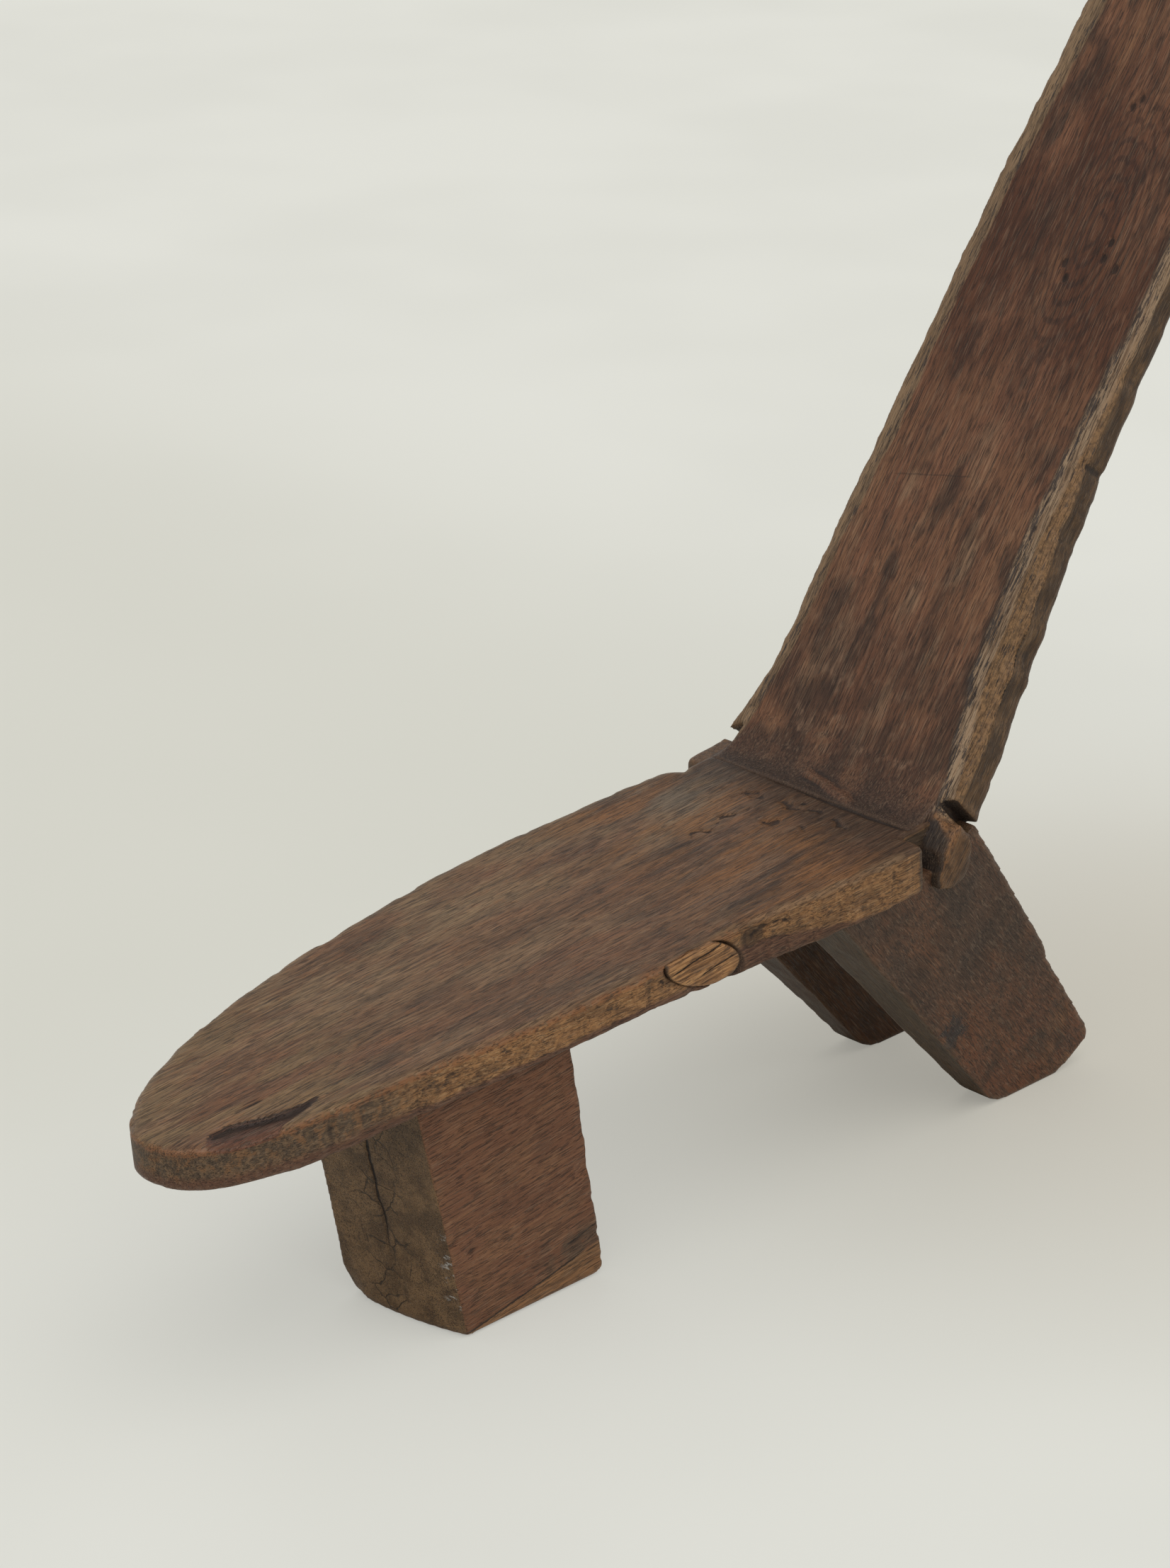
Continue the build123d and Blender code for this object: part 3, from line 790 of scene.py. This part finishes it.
# %% The wood that all members share
class Wood(Finish):
    """A finish with fibres along the member, which rises at this angle to the back."""

    def __init__(self, name, rise, seed, waver=0.007):
        super().__init__(name)
        level = self.node("ShaderNodeMapping", {"vector_type": "TEXTURE"},
                          {"Vector": self.place, "Location": tuple(CREASE), "Rotation": (rise, 0.0, 0.0)})
        drift = self.node("ShaderNodeTexNoise", {}, {"Vector": level, "Scale": 7.0, "Detail": 2.0}, "Color")
        self.grain = self.node("ShaderNodeVectorMath", {"operation": "MULTIPLY_ADD"},
                               {0: drift, 1: (waver, 0.0, waver), 2: level})
        self.level, self.seed, self.colour = level, seed, None
        self.across, self.along = self.parts(level)[:2]
        self.fibre = self.cloud(self.grain, (0.0014, 0.055), 3.0, 0.60, seed)
        self.streak = self.cloud(self.grain, (0.014, 0.30), 5.0, 0.54, seed + 1.3)
        self.pores = self.cloud(self.grain, (0.0009, 0.014), 2.0, 0.6, seed + 3.7).step(0.54, 0.64)
        self.glint = self.cloud(self.grain, (0.0010, 0.022), 2.0, 0.6, seed + 6.1).step(0.54, 0.66)
        self.speck = self.cloud(level, 0.004, 4.0, 0.7, seed + 5.1)
        self.shade = self.fibre.step(0.34, 0.66) * 0.7 + 0.65
        self.worn = self.mark("worn")
        self.facing = self.node("ShaderNodeTexCoord", {}, {}, "Normal")

    def body(self, dark, middle, light, spread=1.0):
        """Fibres and streaks, from dark through the member's own tone to light."""
        tone = self.streak * 0.32 + self.fibre * 0.68
        stops = [(0.50 - 0.10 * spread, dark), (0.50, middle), (0.50 + 0.11 * spread, light)]
        return self.node("ShaderNodeValToRGB", {"stops": stops}, {"Fac": tone}, "Color")

    def patch(self, size, low, high, turn=0.0):
        """A stain with fibrous edges: 0 where its noise is under low, 1 above high."""
        stain = self.cloud(self.grain, size, 4.0, 0.54, self.seed + turn)
        return (stain + (self.fibre - 0.5) * 0.18).step(low - 0.02, high + 0.02)

    def coat(self, mask, tone):
        """Put a tone on the colour by a mask."""
        self.colour = self.mix(mask, self.colour, tone)

    def stain(self, mask, tone):
        """Put a tone on the colour by a mask, with the fibres still showing in it."""
        self.coat(mask, self.node("ShaderNodeVectorMath", {"operation": "SCALE"}, {0: tone, "Scale": self.shade}))

    def finish(self, gloss, height, relief=0.0007, edge=0.12, polish=None):
        """Last layers that every member has: pores, worn edges, darker hollows, gloss and relief."""
        self.coat(self.pores * 0.65, (0.020, 0.011, 0.007))
        self.coat(self.glint * 0.26, self.mix(0.5, self.colour, (0.420, 0.300, 0.200)))
        rubbed = (self.worn + (self.speck - 0.5) * 0.5).step(0.12, 0.55)
        self.coat(rubbed * edge, (0.190, 0.105, 0.055))
        # the hollows are darkened
        self.coat(self.worn.step(-0.12, -0.6) * 0.8, (0.016, 0.010, 0.008))
        shader = self.tree.nodes["Principled BSDF"]
        plug(self.tree, shader.inputs["Base Color"], self.colour)
        plug(self.tree, shader.inputs["Roughness"], gloss + (self.fibre - 0.5) * 0.3 - rubbed * 0.10)
        shader.inputs["Specular IOR Level"].default_value = 0.24
        if polish is not None:
            plug(self.tree, shader.inputs["Coat Weight"], polish)
            shader.inputs["Coat Roughness"].default_value = 0.22
        total = height + self.fibre * 0.8 + self.streak * 0.6 + self.speck * 0.25 - self.pores * 0.7
        bump = self.node("ShaderNodeBump", {}, {"Strength": 0.8, "Distance": relief, "Height": total})
        plug(self.tree, shader.inputs["Normal"], bump)
        print(self.material.name, len(self.tree.nodes), "nodes")
        return self.material


# %% [markdown]
# The seat's top is grey-brown with rusty streaks. Its rim shows a narrow pale strip where
# the sapwood begins, then a mottled tan side with dark spots and a darker, redder lower edge.

# %% Seat finish
w = Wood("seat_wood", SEAT_RISE, 1.0)
rim, deep, scoop, hollow = w.mark("rim"), w.mark("deep"), w.mark("scoop"), w.mark("hollow")
w.colour = w.body((0.048, 0.0245, 0.0125), (0.118, 0.059, 0.030), (0.200, 0.109, 0.057), 1.6)
w.stain(w.patch((0.030, 0.12), 0.47, 0.60, 1.0) * 0.40, (0.150, 0.062, 0.030))
w.stain(w.patch((0.045, 0.15), 0.50, 0.62, 7.7) * 0.45, (0.180, 0.120, 0.068))
w.stain(w.patch((0.022, 0.10), 0.54, 0.66, 9.1) * 0.55, (0.052, 0.030, 0.018))
golden = w.patch((0.04, 0.10), 0.42, 0.60, 12.3) * w.x.step(0.0, -0.06)
w.stain(golden * 0.5, (0.200, 0.138, 0.074))
grey_rear = w.patch((0.03, 0.06), 0.40, 0.56, 14.0) * w.x.step(-0.02, -0.07) * w.along.step(-0.16, -0.09)
w.stain(grey_rear * 0.7, (0.105, 0.082, 0.060))
rust_rear = w.patch((0.025, 0.09), 0.45, 0.56, 15.0) * w.along.step(-0.26, -0.14)
w.stain(rust_rear * 0.75, (0.152, 0.064, 0.020))
dark_rear = w.patch((0.012, 0.08), 0.53, 0.62, 27.0) * w.along.step(-0.30, -0.14)
w.stain(dark_rear * 0.75, (0.038, 0.020, 0.012))
# the seat's top darkens toward the crease, further forward at the sides
darker_toward_crease = w.along + abs(w.x + 0.02) * 0.22 + (w.cloud(w.level, 0.02, 4.0, 0.6, 4.4) - 0.5) * 0.05
w.stain(darker_toward_crease.step(-0.085, -0.018) * 0.85, (0.042, 0.023, 0.014))
fold = abs(w.along + 0.0235).step(0.010, 0.002)
w.stain(fold * 0.65, (0.026, 0.015, 0.010))
ragged = w.cloud(w.level, (0.006, 0.02), 5.0, 0.65, 11.0)
side_mask = (deep + ragged * 4.0).step(4.0, 6.0)
strip = (rim + ragged * 8.0).step(12.0, 7.5) * w.x.step(0.0, 0.02)
strip = strip * w.along.step(-0.54, -0.46) * w.along.step(-0.046, -0.06)
w.stain(strip * w.patch((0.012, 0.04), 0.36, 0.56, 24.0) * 0.75, (0.172, 0.104, 0.054))
# painted shadow: a dark line about 50 mm out on the near side, from near the gouge's end to about 190 mm from the
# tip
shadow_x = w.x - 0.0505 + (w.along + 0.515) * 0.05
shade = abs(shadow_x + (ragged - 0.5) * 0.008).step(0.0075, 0.002) * abs(w.along + 0.505).step(0.045, 0.025)
w.stain(shade * 0.7, (0.048, 0.031, 0.020))
golden_tip = w.patch((0.02, 0.08), 0.42, 0.56, 21.0) * w.along.step(-0.42, -0.54)
w.stain(golden_tip * 0.65, (0.160, 0.104, 0.050))
far_strip_mask = (rim + ragged * 10.0).step(15.0, 9.0) * w.x.step(0.0, -0.02)
w.stain(far_strip_mask * 0.45, (0.165, 0.112, 0.062))
print("seat's top:", len(w.tree.nodes), "nodes")

# %% [markdown]
# The side of the rim is younger wood, rubbed by hands and worn to a coarser grain. It goes on
# over the top's tones by a mask on the depth below the top face. The gouge, the cracks, the
# hollows and the slots are darkened last: painted shadow along the gouge's upper edge, and
# painted shade in the hollows, the tear-outs and on the slot walls.

# %% Seat finish, the side and the cuts
grain_size = w.cloud(w.level, 0.0045, 5.0, 0.72, 17.0)
olive = w.blend(
    w.mix(grain_size.step(0.44, 0.62), (0.056, 0.038, 0.024), (0.128, 0.080, 0.044)),
    (w.cloud(w.level, 0.008, 5.0, 0.70, 18.0).step(0.50, 0.62) * 0.7, (0.170, 0.082, 0.034)),
    ((deep + ragged * 10.0).step(27.0, 35.0) * 0.8, (0.090, 0.038, 0.022)),
    ((deep + ragged * 10.0).step(15.0, 7.0) * 0.6, (0.046, 0.026, 0.018)))
low_edge = 27.0 - w.along.step(-0.268, -0.205) * 12.0 + w.along.step(-0.205, -0.06) * 18.0
tan = w.blend(
    w.mix(grain_size.step(0.34, 0.64), (0.156, 0.074, 0.029), (0.290, 0.148, 0.059)),
    (w.cloud(w.level, (0.016, 0.030, 0.012), 4.0, 0.6, 19.0).step(0.46, 0.62) * 0.60, (0.088, 0.046, 0.022)),
    (w.fibre.step(0.54, 0.64) * 0.45, (0.340, 0.210, 0.105)),
    (w.fibre.step(0.45, 0.36) * 0.45, (0.070, 0.036, 0.018)),
    (w.cloud(w.level, (0.012, 0.02), 5.0, 0.70, 13.0).step(0.56, 0.66) * 0.8, (0.032, 0.019, 0.012)),
    ((deep + ragged * 9.0 - 4.5 - low_edge).step(0.0, 4.0),
     w.body((0.040, 0.018, 0.011), (0.086, 0.040, 0.024), (0.14, 0.070, 0.040))),
    (w.along.step(-0.22, -0.10) * 0.12, (0.080, 0.042, 0.019)),
    ((w.along + ragged * 0.05).step(-0.44, -0.50) * 0.92, olive))
w.coat(side_mask, tan)
lip = (deep + ragged * 5.0).step(2.4, 4.2) * (deep + ragged * 5.0).step(10.5, 7.0) * w.along.step(-0.16, -0.24)
w.coat(lip * w.speck.step(0.36, 0.54) * 0.7, (0.215, 0.086, 0.032))
gouge = w.mix(rim.step(14.0, 3.0), (0.056, 0.026, 0.017), (0.092, 0.034, 0.018))
w.stain(scoop.step(0.12, 0.42) * 0.95, gouge)
# painted shadow: a near-black line along the gouge's upper edge, where the step drops into the scoop
w.coat(scoop.step(0.03, 0.16) * scoop.step(0.58, 0.24) * rim.step(8.0, 14.0) * 0.85, (0.014, 0.009, 0.007))
# dark in the slit and the shakes, and painted shade in the hollows and tear-outs
w.coat(hollow.step(0.22, 0.95) * 0.72, (0.026, 0.015, 0.010))
# painted shade, with some dirt, on the side walls at the seat's slots
slot_wall_shade = deep.step(2.0, 5.0) * w.along.step(-0.041, -0.0375)
w.stain(slot_wall_shade * 0.9, (0.040, 0.028, 0.019))
polish = w.worn.step(0.15, 0.6) * w.speck.step(0.48, 0.62) * w.along.step(-0.52, -0.62) * (1 - scoop) * 0.4
seat_material = w.finish(0.50 + strip * 0.12 - scoop * 0.10, ragged * 0.5, polish=polish)

# %% [markdown]
# The backrest has seen the most smoke. It is purple-brown with dark streaky blotches, and both
# edges keep a pale weathered strip, wide at the near foot and narrower on the far side.
# High up, the figure swirls round a buried knot.

# %% Backrest finish
w = Wood("back_wood", BACK_RISE, 21.0)
deep, strip_mm = w.mark("deep"), w.mark("strip")
w.colour = w.body((0.042, 0.019, 0.011), (0.142, 0.064, 0.033), (0.240, 0.124, 0.063), 1.9)
w.stain(w.patch((0.030, 0.10), 0.46, 0.60, 1.0) * 0.45, (0.150, 0.062, 0.034))
w.stain(w.patch((0.026, 0.075), 0.52, 0.60, 4.0) * 0.80, (0.034, 0.018, 0.012))
w.stain(w.patch((0.008, 0.030), 0.58, 0.68, 6.0) * 0.45, (0.030, 0.017, 0.012))
pale_low = w.patch((0.030, 0.06), 0.56, 0.70, 8.0) * w.along.step(0.40, 0.20)
w.stain(pale_low * 0.75, (0.200, 0.120, 0.070))
high = w.along.step(0.25, 0.39) * w.along.step(0.63, 0.52) * w.patch((0.04, 0.12), 0.34, 0.56, 11.0)
w.stain(high * 0.85, (0.062, 0.021, 0.010))
foot_dark = w.patch((0.030, 0.040), 0.34, 0.54, 9.0) * w.along.step(0.17, 0.05)
w.stain(foot_dark * 0.70, (0.040, 0.020, 0.013))
foot_pale = w.patch((0.016, 0.020), 0.56, 0.68, 10.0) * w.along.step(0.16, 0.06)
w.stain(foot_pale * 0.7, (0.150, 0.088, 0.055))
crease_dark = w.along.step(0.030, -0.010) * w.patch((0.030, 0.020, 0.020), 0.30, 0.56, 13.0)
w.stain(crease_dark * 0.8, (0.050, 0.026, 0.016))
# painted shade in the crease fold, darkest below the crease
w.stain(w.along.step(0.004, -0.012) * 0.75, (0.028, 0.016, 0.011))
from_ledge = w.across - 0.008
ledge = abs(w.along + 0.0055 + from_ledge * 0.17).step(0.006, 0.002) * abs(from_ledge).step(0.034, 0.022)
w.stain(ledge * 0.6, (0.115, 0.050, 0.026))
ear_mask = abs(w.x).step(0.0992, 0.1012) * w.along.step(0.012, 0.004)
ear_tone = w.blend(w.mix(w.speck.step(0.36, 0.62), (0.078, 0.035, 0.014), (0.205, 0.096, 0.036)),
                   (w.x.step(0.0, -0.1) * 0.5, (0.050, 0.029, 0.015)))
w.coat(ear_mask * 0.92, ear_tone)
ring_x, ring_s = w.across - 0.018, w.along - 0.455
ring = (ring_x * ring_x + ring_s * ring_s * 0.16).root()
wave = (ring * 1050.0 + w.streak * 17.0).sine()
w.stain(wave.step(0.1, 0.9) * ring.step(0.060, 0.028) * 0.62, (0.034, 0.015, 0.010))
scratch = abs(w.along - 0.247 - w.across * 0.2 - w.speck * 0.003).step(0.0010, 0.0003)
w.coat(scratch * abs(w.across + 0.030).step(0.038, 0.028) * 0.45, (0.020, 0.012, 0.009))
print("backrest's face:", len(w.tree.nodes), "nodes")

# %% [markdown]
# The outermost wood of a plank weathers first. Both strips are grey and flecked with mould,
# with a ragged inner border, and behind them lie the cleaner side faces and the cuts, dark
# with painted shade.

# %% Backrest finish, the edges
ragged = w.cloud(w.level, (0.005, 0.03), 5.0, 0.68, 31.0)
far_side = w.x.step(0.0, -0.02)
strip = (strip_mm + far_side * 3.0 + ragged * 12.0).step(4.0, 7.0) * (deep + ragged * 3.0).step(15.0, 10.0)
strip = strip * w.along.step(0.000, 0.010)
inland = strip_mm + ragged * 8.0
fleck = w.cloud(w.grain, (0.0018, 0.016), 5.0, 0.74, 33.0) - inland.step(8.0, 13.0) * 0.07 - far_side * 0.07
weather = w.blend(
    w.mix(w.streak.step(0.42, 0.60), (0.140, 0.086, 0.050), (0.310, 0.206, 0.124)),
    (w.fibre.step(0.42, 0.60) * 0.7, (0.325, 0.236, 0.155)),
    (far_side * 0.6, (0.205, 0.126, 0.064)),
    ((strip_mm + ragged * 6.0).step(13.0, 17.0) * w.x.step(-0.02, 0.0) * 0.85,
     w.mix(w.speck.step(0.40, 0.60), (0.098, 0.051, 0.020), (0.220, 0.118, 0.048))),
    ((fleck + inland.step(10.0, 5.0) * 0.04).step(0.50, 0.54) * 0.9, (0.030, 0.027, 0.028)))
w.coat(strip * 0.95, weather)
seam = abs(strip_mm + ragged * 12.0 - 5.5).step(3.0, 0.5) * w.along.step(0.02, 0.06)
w.coat(seam * 0.4, (0.030, 0.018, 0.013))
facet = (deep + ragged * 4.0).step(10.0, 13.0) * (1 - w.along.step(0.012, -0.002) * 0.4)
side_tone = w.blend(
    w.mix(w.patch((0.010, 0.03), 0.40, 0.60, 12.0), (0.046, 0.0235, 0.010), (0.106, 0.056, 0.0235)),
    (w.speck.step(0.52, 0.64) * 0.5, (0.040, 0.023, 0.013)))
w.coat(facet, side_tone)
w.stain((deep + ragged * 8.0).step(29.0, 35.0) * 0.8, (0.050, 0.028, 0.017))
turned = w.parts(w.facing)
# painted shade, with some dirt, on the near ear's front face inside the slot
slot_wall_shade = turned[1].step(-0.45, -0.75) * w.x.step(0.098, 0.1005) * w.along.step(0.003, 0.0)
# painted shade: the hook's cut face and the recess under it are darkened
cut = (turned[0] * HOOK_CUT.x + turned[1] * HOOK_CUT.y + turned[2] * HOOK_CUT.z).step(0.80, 0.93)
cut = cut * w.x.step(0.0985, 0.0995) * w.along.step(0.030, 0.024) * w.along.step(0.000, 0.003)
w.stain(cut, (0.022, 0.015, 0.011))
w.stain(slot_wall_shade * 0.95, (0.026, 0.020, 0.017))
back_material = w.finish(0.50 + strip * 0.15, ragged * 0.5 + strip * w.fibre)

# %% [markdown]
# The front leg keeps the tool's flat faces. The fibres still follow the seat, so they cross
# its side face on a slant. The end-grain face in front is olive brown with a long check and a
# net of hair cracks.

# %% Front leg finish
w = Wood("front_leg_wood", math.radians(7.0), 41.0)
w.colour = w.body((0.070, 0.029, 0.014), (0.138, 0.058, 0.029), (0.215, 0.100, 0.049), 2.4)
w.stain(w.patch((0.03, 0.05), 0.47, 0.60, 1.0) * 0.28, (0.175, 0.090, 0.042))
w.stain(w.patch((0.018, 0.03), 0.58, 0.70, 2.0) * 0.45, (0.060, 0.030, 0.018))
upper = w.z.step(0.12, 0.18)
w.stain(upper * 0.40, (0.155, 0.063, 0.030))
front = w.parts(w.facing)[1].step(-0.6, -0.85)
olive = w.blend(
    w.mix(w.cloud(w.place, 0.022, 6.0, 0.7, 45.0).step(0.38, 0.62), (0.082, 0.046, 0.021), (0.168, 0.098, 0.046)),
    (upper * 0.35, (0.055, 0.033, 0.016)),
    (w.speck.step(0.52, 0.66) * 0.4, (0.042, 0.025, 0.013)))
bent = w.node("ShaderNodeVectorMath", {"operation": "MULTIPLY_ADD"},
              {0: w.node("ShaderNodeTexNoise", {}, {"Vector": w.place, "Scale": 60.0, "Detail": 3.0}, "Color"),
               1: (0.02, 0.02, 0.02), 2: w.place})
net = w.node("ShaderNodeTexVoronoi", {"feature": "DISTANCE_TO_EDGE"}, {"Vector": bent, "Scale": 42.0}, "Distance")
crack_mm = abs(w.mark("crack"))
close = crack_mm.step(36.0, 8.0)
hair = net.step(0.034, 0.008) * front * w.cloud(w.place, 0.035, 2.0, 0.5, 47.0).step(0.36, 0.52) * close
w.coat(front, olive)
w.coat(hair * 0.8, (0.012, 0.008, 0.005))
opening = w.z.step(0.055, 0.13) * 0.75
crack = (crack_mm - opening).step(0.40, -0.05) * front * w.z.step(0.055, 0.10)
w.coat(crack_mm.step(7.0, 0.0) * front * w.z.step(0.04, 0.10) * 0.35, (0.034, 0.019, 0.010))
w.coat(crack, (0.007, 0.004, 0.003))
t_mm, z_mm = (w.y - TIP_Y) * 1000, w.z * 1000
beside = (1 - front) * w.x.step(0.03, 0.045)
low_line = z_mm - (t_mm - 242) * 0.195 - w.speck * 2.4 - 4.0
high_line = z_mm - (t_mm - 334) * 0.27 - w.speck * 3.0 - 35.5
low_check = abs(low_line).step(0.9, 0.3) * t_mm.step(345, 335) * beside
low_check = low_check.most(abs(high_line).step(0.8, 0.2) * t_mm.step(322, 334) * beside)
olive_patch = w.cloud(w.level, 0.018, 4.0, 0.6, 48.0).step(0.36, 0.52) * abs(z_mm - 30).step(26.0, 8.0)
w.stain(olive_patch * t_mm.step(285, 325) * beside * 0.7, (0.072, 0.046, 0.028))
w.stain(low_line.step(1.0, -1.0) * beside * 0.75, (0.205, 0.102, 0.042))
w.coat(low_check * 0.9, (0.014, 0.009, 0.006))
# painted highlights: near-white glints on the chips along the front corner, with a gloss coat on them
chip_glints = w.cloud(w.place, (0.008, 0.008, 0.004), 4.0, 0.7, 49.0).step(0.56, 0.62) * front * w.x.step(0.040, 0.050)
chip_glints = chip_glints * z_mm.step(20, 28) * z_mm.step(92, 78)
w.coat(chip_glints * 0.55, (0.42, 0.40, 0.38))
height = chip_glints - hair * 1.5 - low_check * 2.0 - crack * 2.0
front_leg_material = w.finish(0.48, height, edge=0.10, polish=chip_glints)

# %% [markdown]
# The rear legs are the darkest members, blotched by damp and soot, and redder near the floor.
# The far leg is darkened all over with painted shade, as its inner face lies in shadow.

# %% Rear leg finish
w = Wood("rear_leg_wood", math.radians(-47.0), 61.0)
w.colour = w.body((0.034, 0.016, 0.009), (0.060, 0.030, 0.017), (0.090, 0.047, 0.027), 2.2)
w.stain(w.patch((0.05, 0.07), 0.46, 0.58, 1.0) * 0.65, (0.098, 0.040, 0.018))
w.stain(w.patch((0.04, 0.06), 0.48, 0.62, 2.0) * 0.65, (0.032, 0.020, 0.014))
low_red = w.z.step(0.16, 0.03) * w.patch(0.03, 0.38, 0.56, 3.0)
w.stain(low_red * 0.75, (0.108, 0.040, 0.018))
heel_tan = w.cloud(w.level, 0.02, 4.0, 0.6, 5.0).step(0.45, 0.60) * w.z.step(0.09, 0.05) * w.y.step(0.26, 0.30)
w.stain(heel_tan * 0.6, (0.130, 0.060, 0.026))
blue_y, blue_z = (w.y - (TIP_Y + 0.694)) * 70.0, (w.z - 0.086) * 52.0
blue = (blue_y * blue_y + blue_z * blue_z).root() + (w.cloud(w.place, 0.010, 4.0, 0.7, 6.0) - 0.5) * 4.5
w.coat(blue.step(1.1, 0.5) * w.x.step(0.0, 0.05) * 0.8, (0.018, 0.017, 0.018))
front = w.parts(w.facing)[1].step(-0.4, -0.65)
w.stain(front * 0.80, (0.053, 0.031, 0.0115))
# painted shade: the far leg, whose inner face is in shadow, is darkened
w.stain(w.x.step(0.04, -0.03) * 0.80, (0.045, 0.0175, 0.0045))
rear_leg_material = w.finish(0.46, w.streak * 0.3, edge=0.14)

# %% [markdown]
# The knot dried harder and paler than the plank round it, with fibres that end on its face.

# %% Knot finish
w = Wood("knot_wood", SEAT_RISE, 81.0, 0.004)
w.colour = w.body((0.150, 0.067, 0.023), (0.290, 0.143, 0.055), (0.420, 0.232, 0.099))
w.stain(w.patch((0.010, 0.012), 0.46, 0.60, 1.0) * 0.6, (0.140, 0.068, 0.030))
knot_y, knot_z = (w.y - knot_middle.y) * 1000, (w.z - knot_middle.z) * 1000
reach, girth = in_knot(knot_y, knot_z - knot_y * math.tan(SEAT_RISE))
ring = (reach * reach + girth * girth + w.speck * 0.2).step(0.96, 1.12)
w.coat(ring * 0.9, (0.016, 0.010, 0.007))
split = (abs(w.mark("split")) + w.speck * 0.4).step(0.95, 0.45)
split = split.most((abs(w.mark("lower_split")) + w.speck * 0.4).step(0.85, 0.4))
w.coat(split, (0.010, 0.007, 0.005))
knot_material = w.finish(0.5, w.streak * 0.3 - split * 2.0)

# %% [markdown]
# Every member now goes to the chair's one body and stands for its imported solid. Its points
# are first marked with how far they stand out, which the finishes read as rubbed edges and as
# darker hollows.

# %% Hand the members over
def wear(mesh):
    """Mark how far each point stands out from its surroundings: edges above 0, hollows below."""
    places = [v.co.copy() for v in mesh.vertices]
    copy = mesh.copy()
    soften(copy, 10, 0.6)
    keep_mark(mesh, "worn", [
        (place - smooth.co).dot(normal) / MM
        for place, smooth, normal in zip(places, copy.vertices, outward(mesh))])
    bpy.data.meshes.remove(copy)


def set_out(piece, node, material):
    """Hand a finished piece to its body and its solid."""
    piece.data.polygons.foreach_set("use_smooth", [True] * len(piece.data.polygons))
    wear(piece.data)
    piece.data.materials.clear()
    piece.data.materials.append(material)
    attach(piece, "root")
    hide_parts(node)
    low, high = ([round(end(v.co[i] for v in piece.data.vertices) / MM, 1) for i in range(3)]
                 for end in (min, max))
    print(piece.name, len(piece.data.polygons), "faces, mm", low, high)


set_out(seat, "seat_plank", seat_material)
set_out(backrest, "backrest_plank", back_material)
set_out(front_leg, "front_leg", front_leg_material)
set_out(rear_leg_left, "rear_leg_left", rear_leg_material)
set_out(rear_leg_right, "rear_leg_right", rear_leg_material)
set_out(knot, "edge_knot", knot_material)
